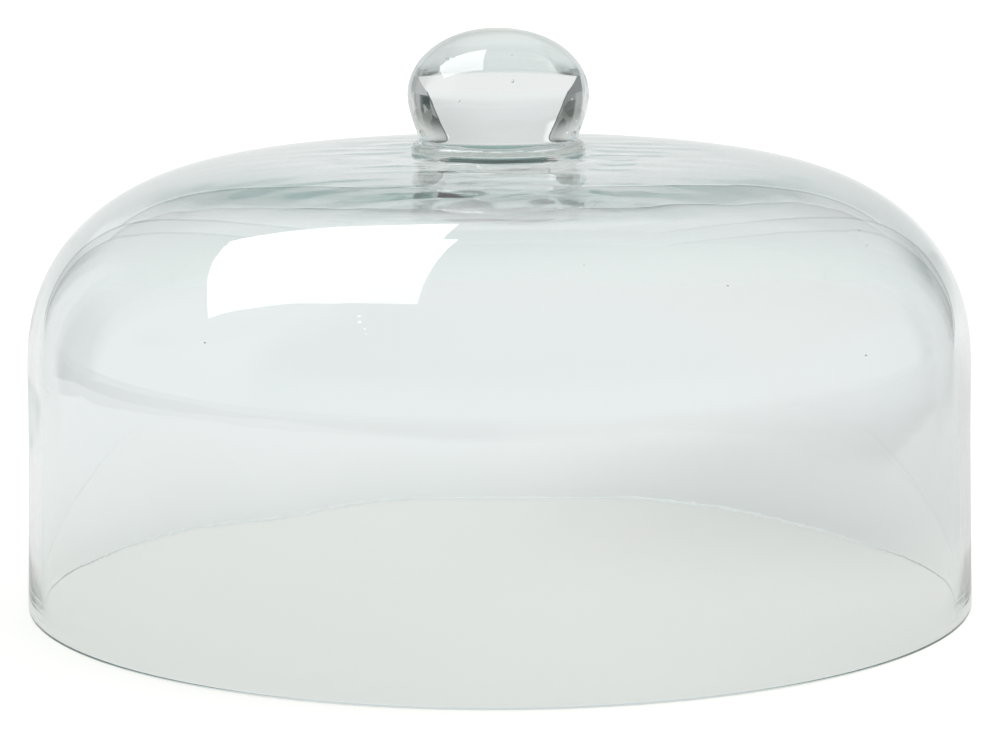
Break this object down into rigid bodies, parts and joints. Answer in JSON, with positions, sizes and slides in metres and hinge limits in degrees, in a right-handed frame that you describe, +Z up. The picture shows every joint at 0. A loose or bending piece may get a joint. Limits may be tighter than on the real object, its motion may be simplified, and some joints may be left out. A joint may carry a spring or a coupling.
{
  "type": "bell jar dome",
  "caption": "Clear glass dome cover with a straight wall, soft shoulder, nearly flat crown and a solid glass grip knob on a round-edged collar.",
  "frame": {"origin": "centre of the rim's resting plane, the plane the dome stands on", "axes": "+Z up along the dome's axis of revolution, from the open rim towards the knob; X and Y are equal"},
  "size_m": [0.3, 0.3, 0.1809],
  "materials": {
    "dome_glass": "clear blown glass, very faint green-grey tint, glossy",
    "collar_glass": "clear blown glass, glossy",
    "knob_glass": "clear solid glass with a few seed bubbles, glossy"
  },
  "bodies": {
    "root": {"dome_shell": "dome_glass", "knob_collar": "collar_glass", "glass_knob": "knob_glass"}
  },
  "joints": []
}
